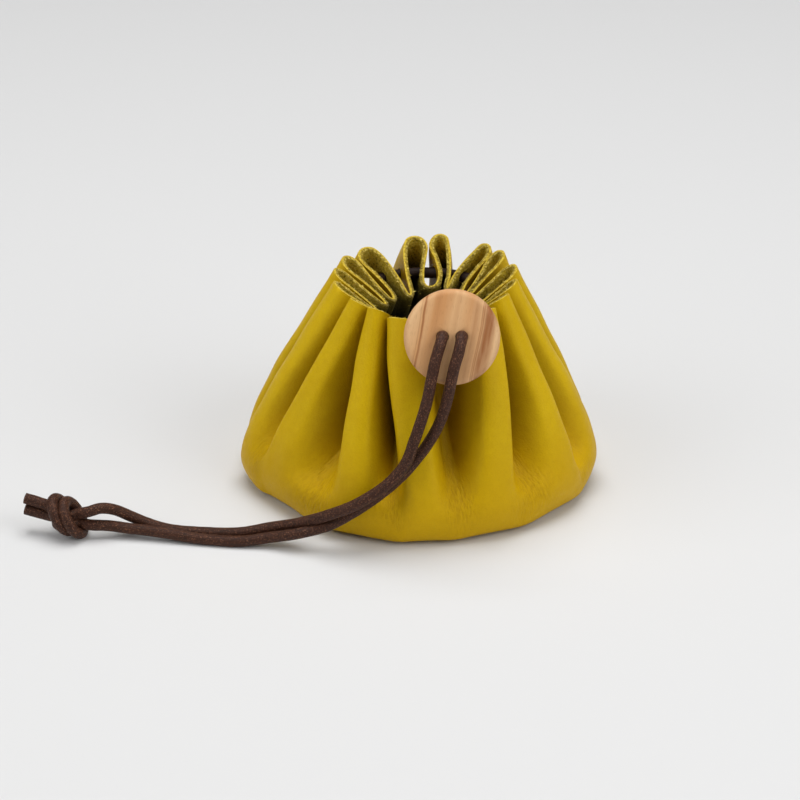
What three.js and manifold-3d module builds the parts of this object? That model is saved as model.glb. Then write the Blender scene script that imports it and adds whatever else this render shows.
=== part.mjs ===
// Leather coin purse: one leather disc gathered into pleats by a cord that runs
// through a two-hole wooden toggle and ends in a knot of both strands.
// Millimetres, +Z up. The purse stands on z = 0 and the toggle hangs on its -Y side.
import * as THREE from 'three';
import { mergeVertices } from 'three/addons/utils/BufferGeometryUtils.js';
import Module from 'manifold-3d';

const wasm = await Module();
wasm.setup();

// Driving dimensions
const LEATHER = 1.2; // thickness of the leather
const MOUTH_SHIFT = 1.5; // the gathered mouth leans this far toward +X
const BASE_DEPTH = 0.92; // depth of the base as a share of its width
const SPREAD_FADES = 2; // how fast a fold's own spread and fill fade from the base up to the rim
const SHARPEST_BEND = 0.75; // cosine that limits how far a fold's corner is pushed out
const CORD = 3; // diameter of the cord
const CORD_SIDES = 8;
const GAP = 0.3; // clearance between touching pieces
const HOLE_RADIUS = CORD / 2 + 0.5; // pierced holes, wide enough for the faceted cord
const TOGGLE = { diameter: 25, thickness: 5, edge: 1.6, spacing: 5, hole: 3.8, tilt: 25.5 };
const TOGGLE_FACETS = { round: 28, edge: 3, hole: 12 };
const TOGGLE_CENTRE = new THREE.Vector3(8.1, -31.9, 57.1);

// One row for each ridge, from the right of the toggle round the back to its left.
// Angles are degrees from the front (-Y) toward +X.
// tip, reach, top: angle, radius and height at the rim; foot: angle at the base;
// spread: extra radius at the base; bulb: half angle of the loop at the rim.
const RIDGES = [
  { tip: 38, reach: 26.6, top: 59.8, foot: 26, spread: -2.2, bulb: 7.2 },
  { tip: 57.5, reach: 24.8, top: 60.2, foot: 60, spread: -1.2, bulb: 7.0 },
  { tip: 79, reach: 24.4, top: 60.4, foot: 84, spread: 0.0, bulb: 7.6 },
  { tip: 101, reach: 24.6, top: 60.4, foot: 108, spread: -1.2, bulb: 7.6 },
  { tip: 124, reach: 25.0, top: 60.6, foot: 130, spread: 0.0, bulb: 5.3 },
  { tip: 139, reach: 25.6, top: 60.4, foot: 152, spread: 0.0, bulb: 5.3 },
  { tip: 170, reach: 25.0, top: 60.9, foot: 175, spread: 0.0, bulb: 5.6 },
  { tip: 187, reach: 24.2, top: 60.6, foot: 198, spread: 0.0, bulb: 7.3 },
  { tip: 224, reach: 23.9, top: 60.0, foot: 218, spread: 0.0, bulb: 8.5 },
  { tip: 245, reach: 24.2, top: 60.5, foot: 237, spread: -0.6, bulb: 7.2 },
  { tip: 264, reach: 24.4, top: 60.4, foot: 258, spread: -0.8, bulb: 6.4 },
  { tip: 285.5, reach: 24.8, top: 60.4, foot: 276.5, spread: 0.3, bulb: 9.2 },
  { tip: 311, reach: 24.9, top: 60.2, foot: 295.5, spread: -3.4, bulb: 5.8 },
  { tip: 327, reach: 25.2, top: 60.1, foot: 338, spread: -0.8, bulb: 5.8 },
  { tip: 347.5, reach: 27.2, top: 59.8, foot: 361, spread: -2.3, bulb: 11.0 },
];

// One row for the valley after each ridge: its angle, radius and height at the rim, the half
// angle that its pocket takes up there, its angle at the base, and how far it is filled there.
const VALLEYS = [
  { angle: 49, foot: 38.5, throat: 13.0, dip: 50, pocket: 4.6, fill: 0 },
  { angle: 68, foot: 68, throat: 12.5, dip: 50, pocket: 4.6, fill: 0 },
  { angle: 90, foot: 94, throat: 13.5, dip: 50, pocket: 5.2, fill: 0 },
  { angle: 114, foot: 119, throat: 12.5, dip: 50, pocket: 5.2, fill: 0 },
  { angle: 133, foot: 141, throat: 14.0, dip: 50, pocket: 5.2, fill: 0 },
  { angle: 155, foot: 163.5, throat: 14.0, dip: 50, pocket: 3.2, fill: 0 },
  { angle: 174, foot: 186.5, throat: 14.0, dip: 50, pocket: 9.0, fill: 0 },
  { angle: 205, foot: 208, throat: 9.5, dip: 50, pocket: 5.2, fill: 0 },
  { angle: 234, foot: 227.5, throat: 10.5, dip: 50, pocket: 6.2, fill: 0 },
  { angle: 254, foot: 247.5, throat: 11.0, dip: 50, pocket: 5.2, fill: 0 },
  { angle: 274, foot: 269.2, throat: 13.0, dip: 50, pocket: 4.0, fill: 0 },
  { angle: 298, foot: 289, throat: 12.0, dip: 50, pocket: 4.2, fill: 0.8 },
  { angle: 319.5, foot: 322.2, throat: 11.5, dip: 50, pocket: 4.6, fill: 0 },
  { angle: 336, foot: 352.5, throat: 12.5, dip: 50, pocket: 4.2, fill: 0.25 },
  { angle: 373, foot: 372, throat: 13.0, dip: 48, pocket: 10.5, fill: 0.25 },
];

// One row for each section of the wall, from the rim down to the edge of the flat base.
// The ridge and valley of a plain fold, the form of the pleat (0 wave, 1 loop), the share of
// each fold's own rim values that is left at this section, and how much the ridges crowd the
// valley between them.
const SECTIONS = [
  { ridgeR: 25.0, ridgeZ: 60.5, valleyR: 10.0, valleyZ: 50.0, form: 1, share: 1, crowd: 0 },
  { ridgeR: 30.0, ridgeZ: 50.5, valleyR: 13.4, valleyZ: 42.0, form: 0.8, share: 0.79, crowd: 0.5 },
  { ridgeR: 36.2, ridgeZ: 39.0, valleyR: 18.0, valleyZ: 32.6, form: 0.5, share: 0.54, crowd: 0.45 },
  { ridgeR: 42.3, ridgeZ: 27.0, valleyR: 27.6, valleyZ: 22.6, form: 0.25, share: 0.3, crowd: 0.35 },
  { ridgeR: 46.6, ridgeZ: 17.2, valleyR: 39.0, valleyZ: 15.0, form: 0.12, share: 0.13, crowd: 0.1 },
  { ridgeR: 48.2, ridgeZ: 11.2, valleyR: 45.5, valleyZ: 10.6, form: 0.04, share: 0.05, crowd: 0 },
  { ridgeR: 48.5, ridgeZ: 6.0, valleyR: 47.3, valleyZ: 5.9, form: 0, share: 0, crowd: 0 },
  { ridgeR: 46.9, ridgeZ: 2.2, valleyR: 46.5, valleyZ: 2.2, form: 0, share: 0, crowd: 0 },
  { ridgeR: 41.0, ridgeZ: LEATHER / 2, valleyR: 41.0, valleyZ: LEATHER / 2, form: 0, share: 0, crowd: 0 },
];

// One row for each point of half a pleat, from the valley to the ridge, as a wave and as a loop.
// out: share of the way out to the ridge; lean: share of the way round from the valley's side
// to the ridge's side; width: share of the pocket and of the bulb that sets the two sides apart.
const PLEAT = [
  { wave: { out: 0, lean: 0 }, loop: { out: 0, lean: 0, width: 0 } },
  { wave: { out: 0.05, lean: 0.16 }, loop: { out: 0.05, lean: 0, width: 0.8 } },
  { wave: { out: 0.21, lean: 0.27 }, loop: { out: 0.25, lean: 0, width: 1 } },
  { wave: { out: 0.5, lean: 0.38 }, loop: { out: 0.55, lean: 0.5, width: 1 } },
  { wave: { out: 0.79, lean: 0.5 }, loop: { out: 0.82, lean: 1, width: 1 } },
  { wave: { out: 0.95, lean: 0.7 }, loop: { out: 0.96, lean: 1, width: 0.62 } },
  { wave: { out: 1, lean: 1 }, loop: { out: 1, lean: 1, width: 0 } },
];

// The cord inside the pleats: a ring below the rim, from the fold left of the toggle
// back round to the fold right of it.
const GATHER = { radius: 20.5, height: 51.5, from: 354, to: 32, points: 19, steps: 24 };
const GATHER_LEAD_LEFT = [[3.3, -21.8, 52.2], [5.2, -25.2, 53.9]];
const GATHER_LEAD_RIGHT = [[9.9, -20.8, 52.2], [10.3, -25.2, 53.9]];

// The free strands from the front of the toggle: over its edge, down the front of the
// purse, on to the surface and up to the knot.
const STRAND_STEPS = 30;
const ROUTE_LEFT = [
  [5.0, -37.1, 57.4], [4.2, -38.5, 55.2], [3.5, -39.7, 52.8], [2.7, -40.8, 49.0],
  [1.7, -41.8, 43.8], [0.2, -42.8, 38.5], [-1.6, -43.8, 33.1], [-3.9, -45.1, 27.0],
  [-8.6, -46.1, 21.3], [-17.1, -46.3, 15.2], [-23.3, -45.0, 12.0], [-31.4, -41.5, 7.6],
  [-39.9, -38.6, 4.1], [-47.9, -38.2, 2.3], [-58.7, -36.7, 1.6], [-66.9, -35.2, 1.6],
  [-72.3, -34.0, 2.6], [-77.5, -33.9, 5.0], [-81.3, -34.9, 7.4], [-84.9, -36.2, 8.6],
];
const ROUTE_RIGHT = [
  [10.2, -37.1, 57.4], [9.6, -38.5, 55.2], [8.8, -39.6, 52.8], [7.9, -40.5, 48.8],
  [6.8, -41.0, 43.4], [5.2, -41.2, 37.6], [2.5, -41.4, 31.8], [-0.7, -42.0, 27.1],
  [-5.1, -42.7, 21.8], [-11.2, -43.4, 16.3], [-18.6, -43.5, 10.8], [-24.3, -43.4, 7.1],
  [-32.2, -43.9, 5.0], [-39.9, -42.0, 2.9], [-47.8, -41.6, 1.6], [-58.6, -40.2, 1.6],
  [-66.6, -38.7, 2.2], [-72.0, -37.7, 2.6], [-77.4, -37.0, 2.9], [-82.8, -36.6, 3.5],
];

// The knot of both strands: a core with two leaning wraps round its axis, and the way of
// each strand through it, from where it enters to its cut end.
const KNOT = {
  centre: new THREE.Vector3(-93.9, -35.6, 6.1),
  axis: new THREE.Vector3(-0.96, 0.22, 0.16).normalize(),
  core: 3.6,
  halfLength: 4.6,
  wrapRadius: 4.15,
  wrapLean: -24,
  wrapOffset: 1.65,
  wrapSteps: 12,
  tubeSteps: 5,
};
const KNOT_LEFT = [[-88.2, -37.0, 8.0], [-93.9, -35.6, 6.1], [-98.8, -34.6, 8.3], [-105.3, -33, 9.9]];
const KNOT_RIGHT = [[-88.2, -36.9, 4.0], [-93.9, -35.6, 4.6], [-98.9, -34.6, 5.5], [-105.4, -33, 6.6]];

const UP = new THREE.Vector3(0, 0, 1);
const LEFT = -1;
const RIGHT = 1;

// Solids: closed geometry in and out of the boolean library

function weld(geometry) {
  const bare = geometry.clone();
  bare.deleteAttribute('normal');
  bare.deleteAttribute('uv');
  const merged = mergeVertices(bare, 1e-4);
  const kept = [];
  const index = merged.index.array;
  for (let i = 0; i < index.length; i += 3) {
    const [a, b, c] = [index[i], index[i + 1], index[i + 2]];
    if (a !== b && b !== c && c !== a) kept.push(a, b, c);
  }
  merged.setIndex(kept);
  return merged;
}

function toSolid(geometry) {
  const welded = weld(geometry);
  const mesh = new wasm.Mesh({
    numProp: 3,
    vertProperties: new Float32Array(welded.attributes.position.array),
    triVerts: new Uint32Array(welded.index.array),
  });
  return new wasm.Manifold(mesh);
}

function toGeometry(solid) {
  const mesh = solid.getMesh();
  const geometry = new THREE.BufferGeometry();
  geometry.setAttribute('position', new THREE.BufferAttribute(mesh.vertProperties, 3));
  geometry.setIndex(new THREE.BufferAttribute(mesh.triVerts, 1));
  geometry.computeVertexNormals();
  return geometry;
}

// Pouch: rings of points on the middle of the leather, thickened both ways

function lerp(from, to, share) {
  return from + (to - from) * share;
}

function pleatPoint(row, form) {
  return {
    out: lerp(row.wave.out, row.loop.out, form),
    lean: lerp(row.wave.lean, row.loop.lean, form),
    width: row.loop.width * form,
  };
}

function ridgeAt(i, section) {
  const plain = SECTIONS[0];
  const ridge = RIDGES[i];
  const own = (ridge.reach - plain.ridgeR) * section.share;
  return {
    angle: lerp(ridge.foot, ridge.tip, section.share),
    r: section.ridgeR + own,
    z: section.ridgeZ + (ridge.top - plain.ridgeZ) * section.share,
    half: ridge.bulb,
    spread: ridge.spread * (1 - section.share) ** SPREAD_FADES,
  };
}

function valleyAfter(i, section) {
  const plain = SECTIONS[0];
  const valley = VALLEYS[i];
  const spread = (RIDGES[i].spread + RIDGES[(i + 1) % RIDGES.length].spread) / 2;
  const low = (1 - section.share) ** SPREAD_FADES;
  const bare = section.valleyR + (valley.throat - plain.valleyR) * section.share;
  return {
    angle: lerp(valley.foot, valley.angle, section.share),
    r: lerp(bare, section.ridgeR, valley.fill * low),
    z: section.valleyZ + (valley.dip - plain.valleyZ) * section.share,
    half: valley.pocket,
    spread: spread * low,
  };
}

function wallPoint(ridge, valley, point, section) {
  const span = ridge.angle - valley.angle;
  const atValley = point.width * valley.half / Math.abs(span);
  const atRidge = 1 - point.width * ridge.half / Math.abs(span);
  const even = lerp(atValley, atRidge, point.lean);
  const way = even - section.crowd * point.out * even * (1 - even);
  const angle = THREE.MathUtils.degToRad(valley.angle + span * way);
  const r = lerp(valley.r, ridge.r, point.out) + lerp(valley.spread, ridge.spread, even);
  const depth = lerp(BASE_DEPTH, 1, section.share);
  return new THREE.Vector3(
    r * Math.sin(angle) + MOUTH_SHIFT * section.share,
    -r * Math.cos(angle) * depth,
    lerp(valley.z, ridge.z, point.out),
  );
}

function pleatRing(section) {
  const half = PLEAT.map((row) => pleatPoint(row, section.form));
  const ring = [];
  RIDGES.forEach((_, i) => {
    const ridge = ridgeAt(i, section);
    const before = valleyAfter((i + RIDGES.length - 1) % RIDGES.length, section);
    if (i === 0) before.angle -= 360;
    const after = valleyAfter(i, section);
    half.slice(0, -1).forEach((point) => ring.push(wallPoint(ridge, before, point, section)));
    half.slice(1).reverse().forEach((point) => ring.push(wallPoint(ridge, after, point, section)));
  });
  return ring;
}

function faceNormal(a, b, c) {
  const across = new THREE.Vector3().subVectors(b, a);
  const down = new THREE.Vector3().subVectors(c, a);
  return down.cross(across).normalize();
}

// Offset of each point that keeps the leather's thickness round the folds.
function wallOffsets(rings) {
  const around = rings[0].length;
  const bottom = rings.length - 1;
  const flat = new THREE.Vector3(0, 0, -LEATHER / 2);
  return rings.map((ring, k) => ring.map((point, j) => {
    if (k === bottom) return flat;
    const next = (j + 1) % around;
    const last = (j + around - 1) % around;
    const below = rings[k + 1];
    const faces = [faceNormal(point, ring[next], below[j]), faceNormal(ring[last], point, below[last])];
    if (k > 0) faces.push(faceNormal(rings[k - 1][j], rings[k - 1][next], point));
    const normal = faces.reduce((sum, face) => sum.add(face), new THREE.Vector3()).normalize();
    const bend = Math.max(SHARPEST_BEND, Math.min(...faces.map((face) => face.dot(normal))));
    return normal.multiplyScalar(LEATHER / 2 / bend);
  }));
}

function pouchShell() {
  const rings = SECTIONS.map(pleatRing);
  const offsets = wallOffsets(rings);
  const around = rings[0].length;
  const positions = [];
  const side = (sign) => rings.forEach((ring, k) => ring.forEach((point, j) => {
    const moved = point.clone().addScaledVector(offsets[k][j], sign);
    positions.push(moved.x, moved.y, Math.max(moved.z, 0));
  }));
  side(1);
  side(-1);
  const inner = rings.length * around;
  const outerCentre = positions.length / 3;
  positions.push(0, 0, 0, 0, 0, LEATHER);
  const index = [];
  const quad = (a, b, c, d) => index.push(a, c, b, b, c, d);
  for (let j = 0; j < around; j += 1) {
    const next = (j + 1) % around;
    for (let k = 0; k < rings.length - 1; k += 1) {
      const [upper, lower] = [k * around, (k + 1) * around];
      quad(upper + j, upper + next, lower + j, lower + next);
      quad(inner + upper + next, inner + upper + j, inner + lower + next, inner + lower + j);
    }
    quad(inner + j, inner + next, j, next);
    const bottom = (rings.length - 1) * around;
    index.push(bottom + next, bottom + j, outerCentre);
    index.push(inner + bottom + j, inner + bottom + next, outerCentre + 1);
  }
  const geometry = new THREE.BufferGeometry();
  geometry.setAttribute('position', new THREE.Float32BufferAttribute(positions, 3));
  geometry.setIndex(index);
  return geometry;
}

// Cords: a faceted tube along a curve through hand-placed points

function cordTube(points, steps, radius) {
  const section = new THREE.Shape();
  for (let i = 0; i < CORD_SIDES; i += 1) {
    const angle = (2 * Math.PI * i) / CORD_SIDES;
    const [x, y] = [radius * Math.cos(angle), radius * Math.sin(angle)];
    if (i === 0) section.moveTo(x, y);
    else section.lineTo(x, y);
  }
  const extrudePath = new THREE.CatmullRomCurve3(points, false, 'centripetal');
  return new THREE.ExtrudeGeometry(section, { steps, extrudePath });
}

const toVectors = (rows) => rows.map((row) => new THREE.Vector3(...row));

const toggleNormal = new THREE.Vector3(0, -1, 0)
  .applyAxisAngle(new THREE.Vector3(1, 0, 0), THREE.MathUtils.degToRad(-TOGGLE.tilt));

// A point on the axis of one of the toggle's holes, this far out from its middle.
function inToggleHole(side, out) {
  const point = TOGGLE_CENTRE.clone().addScaledVector(toggleNormal, out);
  point.x += (side * TOGGLE.spacing) / 2;
  return point;
}

function gatherPoints() {
  const ring = [];
  for (let i = 0; i < GATHER.points; i += 1) {
    const angle = THREE.MathUtils.degToRad(lerp(GATHER.from, GATHER.to, i / (GATHER.points - 1)));
    const [x, y] = [GATHER.radius * Math.sin(angle), -GATHER.radius * Math.cos(angle)];
    ring.push(new THREE.Vector3(x + MOUTH_SHIFT, y, GATHER.height));
  }
  const behind = -TOGGLE.thickness / 2 - CORD;
  const left = [inToggleHole(LEFT, -GAP / 2), inToggleHole(LEFT, behind)];
  const right = [inToggleHole(RIGHT, behind), inToggleHole(RIGHT, -GAP / 2)];
  const leadLeft = toVectors(GATHER_LEAD_LEFT).reverse();
  return [...left, ...leadLeft, ...ring, ...toVectors(GATHER_LEAD_RIGHT), ...right];
}

function strandPoints(side, route, knotRoute) {
  const front = TOGGLE.thickness / 2;
  const [entry, middle] = toVectors(knotRoute);
  const ahead = new THREE.Vector3().subVectors(entry, middle).normalize();
  const approach = entry.clone().addScaledVector(ahead, CORD / 2 + GAP);
  const end = entry.clone().addScaledVector(ahead, GAP);
  const hole = [inToggleHole(side, GAP / 2), inToggleHole(side, front + CORD / 3)];
  return [...hole, ...toVectors(route), approach, end];
}

function freeStrand(side, route, knotRoute) {
  return cordTube(strandPoints(side, route, knotRoute), STRAND_STEPS, CORD / 2);
}

// Knot: a core with two leaning wraps round it and both strands running through it

function knotSolid() {
  const { axis, centre, core, halfLength } = KNOT;
  const turn = new THREE.Quaternion().setFromUnitVectors(UP, axis);
  const body = new THREE.SphereGeometry(core, CORD_SIDES, KNOT.tubeSteps + 1);
  body.scale(1, 1, halfLength / core);
  let solid = toSolid(body.applyQuaternion(turn).translate(centre.x, centre.y, centre.z));
  const leanAxis = new THREE.Vector3().crossVectors(axis, UP).normalize();
  const lean = new THREE.Quaternion().setFromAxisAngle(leanAxis, THREE.MathUtils.degToRad(KNOT.wrapLean));
  for (const offset of [-KNOT.wrapOffset, KNOT.wrapOffset]) {
    const wrap = new THREE.TorusGeometry(KNOT.wrapRadius, CORD / 2, CORD_SIDES, KNOT.wrapSteps);
    const spot = centre.clone().addScaledVector(axis, offset);
    wrap.applyQuaternion(turn).applyQuaternion(lean).translate(spot.x, spot.y, spot.z);
    solid = solid.add(toSolid(wrap));
  }
  for (const route of [KNOT_LEFT, KNOT_RIGHT]) {
    solid = solid.add(toSolid(cordTube(toVectors(route), KNOT.tubeSteps, CORD / 2)));
  }
  return solid;
}

// Toggle: a round disc with eased edges and two holes

function toggleSolid() {
  const { diameter, thickness, edge, spacing, hole } = TOGGLE;
  const radius = diameter / 2;
  const half = thickness / 2;
  const profile = [new THREE.Vector2(0, -half)];
  for (let i = 0; i <= TOGGLE_FACETS.edge; i += 1) {
    const angle = (Math.PI / 2) * (i / TOGGLE_FACETS.edge);
    const [x, y] = [edge * Math.sin(angle), edge * Math.cos(angle)];
    profile.push(new THREE.Vector2(radius - edge + x, -half + edge - y));
  }
  const upper = profile.map((point) => new THREE.Vector2(point.x, -point.y)).reverse();
  const disc = new THREE.LatheGeometry([...profile, ...upper], TOGGLE_FACETS.round);
  let solid = toSolid(disc.rotateX(Math.PI / 2));
  for (const side of [LEFT, RIGHT]) {
    const drill = new THREE.CylinderGeometry(hole / 2, hole / 2, thickness + 2, TOGGLE_FACETS.hole);
    drill.rotateX(Math.PI / 2).translate((side * spacing) / 2, 0, 0);
    solid = solid.subtract(toSolid(drill));
  }
  return solid;
}

// Scene graph

const leather = new THREE.MeshStandardMaterial({ color: 0xc4a01c, roughness: 0.55, metalness: 0 });
const wood = new THREE.MeshStandardMaterial({ color: 0xd2a97e, roughness: 0.6, metalness: 0 });
const cord = new THREE.MeshStandardMaterial({ color: 0x4b3730, roughness: 0.7, metalness: 0 });

function part(name, geometry, material) {
  const mesh = new THREE.Mesh(geometry, material);
  mesh.name = name;
  return mesh;
}

const purse = new THREE.Group();

const gather = gatherPoints();
const pierced = toSolid(pouchShell()).subtract(toSolid(cordTube(gather, GATHER.steps, HOLE_RADIUS)));
purse.add(part('pouch', toGeometry(pierced), leather));
purse.add(part('gather_cord', cordTube(gather, GATHER.steps, CORD / 2), cord));

const toggle = part('toggle', toGeometry(toggleSolid()), wood);
toggle.position.copy(TOGGLE_CENTRE);
toggle.quaternion.setFromUnitVectors(UP, toggleNormal);
purse.add(toggle);

purse.add(part('cord_left', freeStrand(LEFT, ROUTE_LEFT, KNOT_LEFT), cord));
purse.add(part('cord_right', freeStrand(RIGHT, ROUTE_RIGHT, KNOT_RIGHT), cord));
purse.add(part('knot', toGeometry(knotSolid()), cord));

export default purse;
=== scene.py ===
# %% [markdown]
# # A gathered leather coin purse
# The purse is one disc of soft leather. A cord runs through holes near its edge and pulls
# the edge into pleats, both ends of the cord come out through a wooden toggle, and a knot
# keeps them together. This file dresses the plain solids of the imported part, piece by
# piece, in the part's own frame: metres, +Z up, the toggle on the -Y side.

# %% Load the plain part
import math

import bpy
import numpy as np
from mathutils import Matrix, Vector, noise


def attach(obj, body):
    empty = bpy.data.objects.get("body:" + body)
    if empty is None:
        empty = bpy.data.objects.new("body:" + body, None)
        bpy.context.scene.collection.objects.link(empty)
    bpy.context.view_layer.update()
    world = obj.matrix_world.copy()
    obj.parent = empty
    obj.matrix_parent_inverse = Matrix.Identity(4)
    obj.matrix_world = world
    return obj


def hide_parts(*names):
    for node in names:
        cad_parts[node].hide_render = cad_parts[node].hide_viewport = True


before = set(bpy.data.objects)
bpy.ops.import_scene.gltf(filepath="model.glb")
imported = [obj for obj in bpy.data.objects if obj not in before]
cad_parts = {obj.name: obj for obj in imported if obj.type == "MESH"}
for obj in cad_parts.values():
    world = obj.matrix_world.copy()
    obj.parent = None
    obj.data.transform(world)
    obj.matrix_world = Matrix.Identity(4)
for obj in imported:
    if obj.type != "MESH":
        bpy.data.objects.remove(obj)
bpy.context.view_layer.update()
BODY = "root"
MM = 0.001

# %% [markdown]
# ## Camera
# The photograph was taken with a long lens from a little above: the toggle's round face
# is seen almost square on, and the sides of the purse hardly converge. A short lens from
# nearby would fill the frame as well, but the toggle would loom. A lens of 135 mm at about
# 0.83 m gives the same outline without any shift of the frame.

# %% Camera
CAMERA_PLACE = (-0.0054, -0.7337, 0.3963)
CAMERA_TILT = math.radians(63)
LENS = 135
SENSOR = 36

camera = bpy.data.cameras.new("view")
camera.lens = LENS
camera.sensor_width = SENSOR
camera.sensor_fit = "HORIZONTAL"
camera_object = bpy.data.objects.new("view", camera)
camera_object.location = CAMERA_PLACE
camera_object.rotation_euler = (CAMERA_TILT, 0, 0)
bpy.context.scene.collection.objects.link(camera_object)
bpy.context.scene.camera = camera_object
print("camera at", CAMERA_PLACE, "lens", LENS)

# %% [markdown]
# ## Helpers for nodes
# Every finish below is a small tree of nodes. One helper makes a node, sets its switches
# and fills its inputs, either with a plain value or with another node's output, so that a
# material reads from the pattern to the shader like a list of steps.


# %% Helpers for nodes
def node(tree, kind, inputs=None, **switches):
    made = tree.nodes.new(kind)
    for name, value in switches.items():
        setattr(made, name, value)
    for key, value in (inputs or {}).items():
        if isinstance(value, bpy.types.NodeSocket):
            tree.links.new(value, made.inputs[key])
        else:
            made.inputs[key].default_value = value
    return made


def linear(red, green, blue):
    """A colour given as it looks on a screen, 0 to 255, as the renderer needs it."""
    shown = np.array([red, green, blue]) / 255
    light = np.where(shown <= 0.04045, shown / 12.92, ((shown + 0.055) / 1.055) ** 2.4)
    return (*light.tolist(), 1.0)


def ramp(tree, fac, stops):
    made = node(tree, "ShaderNodeValToRGB", {"Fac": fac})
    elements = made.color_ramp.elements
    while len(elements) < len(stops):
        elements.new(0.5)
    for element, (position, colour) in zip(elements, stops):
        element.position = position
        element.color = colour
    return made.outputs["Color"]


def grey(level):
    return (level, level, level, 1.0)


def levels(tree, fac, *stops):
    """A ramp of plain numbers."""
    return ramp(tree, fac, [(position, grey(level)) for position, level in stops])


def attribute(tree, name, output="Fac"):
    return node(tree, "ShaderNodeAttribute", attribute_name=name).outputs[output]


def object_place(tree):
    return node(tree, "ShaderNodeTexCoord").outputs["Object"]


def noise_at(tree, vector, scale, detail, roughness=0.55):
    values = {"Vector": vector, "Scale": scale, "Detail": detail, "Roughness": roughness}
    return node(tree, "ShaderNodeTexNoise", values).outputs["Fac"]


def math_node(tree, operation, first, second=0.0):
    return node(tree, "ShaderNodeMath", {0: first, 1: second}, operation=operation).outputs[0]


def mix_colour(tree, fac, first, second):
    values = {"Factor": fac, 6: first, 7: second}
    return node(tree, "ShaderNodeMix", values, data_type="RGBA").outputs[2]


def new_finish(name, roughness, specular):
    material = bpy.data.materials.new(name)
    material.use_nodes = True
    tree = material.node_tree
    tree.nodes.clear()
    values = {"Roughness": roughness, "Specular IOR Level": specular}
    shader = node(tree, "ShaderNodeBsdfPrincipled", values)
    node(tree, "ShaderNodeOutputMaterial", {"Surface": shader.outputs["BSDF"]})
    return material, tree, shader


def set_input(tree, shader, name, value):
    tree.links.new(value, shader.inputs[name])


def bump(tree, height, distance, strength, normal=None):
    values = {"Height": height, "Distance": distance, "Strength": strength}
    if normal is not None:
        values["Normal"] = normal
    return node(tree, "ShaderNodeBump", values).outputs["Normal"]


print("node helpers ready")

# %% [markdown]
# ## Floor and light
# The purse stands on a pale seamless surface in very soft light. A large matt plane gives
# the flat background; broad panels at the left, the right and above light the tops and the
# outer sides of the pleats, and a weak even sky keeps the valleys from going black. A bright
# sky alone could light the purse too, but panels can be moved until each pleat is shaded as
# it is in the photograph.

# %% Floor and light
FLOOR_HALF = 4.0
FLOOR_TONE = 0.7
SKY_STRENGTH = 0.083
LIGHT_AIM = Vector((0, 0, 0.03))
LIGHTS = (
    {"name": "left panel", "place": (-0.83, -0.42, 0.61), "size": 0.9, "power": 4.5},
    {"name": "right panel", "place": (0.8, -0.53, 0.64), "size": 0.85, "power": 6.1},
    {"name": "top panel", "place": (0.0, 0.14, 1.21), "size": 0.95, "power": 12.9},
)


def new_object(name, points, edges, faces):
    """A mesh in the scene that holds its place in its own points."""
    mesh = bpy.data.meshes.new(name)
    mesh.from_pydata(points, edges, faces)
    obj = bpy.data.objects.new(name, mesh)
    bpy.context.scene.collection.objects.link(obj)
    return obj


corners = [(x * FLOOR_HALF, y * FLOOR_HALF, 0) for x, y in ((-1, -1), (1, -1), (1, 1), (-1, 1))]
floor = new_object("floor", corners, [], [(0, 1, 2, 3)])
paper, tree, shader = new_finish("pale paper", 0.9, 0.2)
shader.inputs["Base Color"].default_value = grey(FLOOR_TONE)
floor.data.materials.append(paper)

sky = bpy.data.worlds.new("soft sky")
sky.use_nodes = True
sky_inputs = sky.node_tree.nodes["Background"].inputs
sky_inputs["Color"].default_value = grey(1.0)
sky_inputs["Strength"].default_value = SKY_STRENGTH
bpy.context.scene.world = sky
bpy.context.scene.view_settings.view_transform = "Standard"

for row in LIGHTS:
    lamp = bpy.data.lights.new(row["name"], "AREA")
    lamp.size = row["size"]
    lamp.energy = row["power"]
    lamp_object = bpy.data.objects.new(row["name"], lamp)
    lamp_object.location = row["place"]
    aim = LIGHT_AIM - Vector(row["place"])
    lamp_object.rotation_euler = aim.to_track_quat("-Z", "Y").to_euler()
    bpy.context.scene.collection.objects.link(lamp_object)
print("floor and", len(LIGHTS), "light panels")

# %% [markdown]
# ## Smooth curves through a few points
# The routes of the cords and the folds of the leather are both given by short tables of
# points. A centripetal Catmull-Rom curve passes through every point, never loops back on
# itself and needs no handles, so the same helper serves for both: it takes rows of points
# and returns more rows between them.

# %% Smooth curves
ROUTE_STEPS = 12


def smooth_rows(rows, steps, closed=False):
    """rows has the shape (count, width, 3); steps is a number for each span, or one for all."""
    rows = np.asarray(rows, dtype=float)
    if closed:
        padded = np.concatenate([rows[-1:], rows, rows[:2]])
    else:
        padded = np.concatenate([2 * rows[:1] - rows[1:2], rows, 2 * rows[-1:] - rows[-2:-1]])
    spans = len(padded) - 3
    counts = [steps] * spans if isinstance(steps, int) else list(steps)
    made = []
    for i, count in enumerate(counts):
        p0, p1, p2, p3 = padded[i : i + 4]
        pairs = ((p0, p1), (p1, p2), (p2, p3))
        gaps = [np.linalg.norm(b - a, axis=-1, keepdims=True) for a, b in pairs]
        k0, k1, k2 = [np.sqrt(np.maximum(gap, 1e-9)) for gap in gaps]
        t1, t2, t3 = k0, k0 + k1, k0 + k1 + k2
        for step in range(count):
            t = t1 + k1 * step / count
            a1 = p0 + (p1 - p0) * t / t1
            a2 = p1 + (p2 - p1) * (t - t1) / k1
            a3 = p2 + (p3 - p2) * (t - t2) / k2
            b1 = a1 + (a2 - a1) * t / t2
            b2 = a2 + (a3 - a2) * (t - t1) / (t3 - t1)
            made.append(b1 + (b2 - b1) * (t - t1) / k1)
    if not closed:
        made.append(rows[-1])
    return np.array(made)


def smooth_route(points):
    return smooth_rows(np.asarray(points, dtype=float)[:, None, :], ROUTE_STEPS)[:, 0, :]


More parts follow.
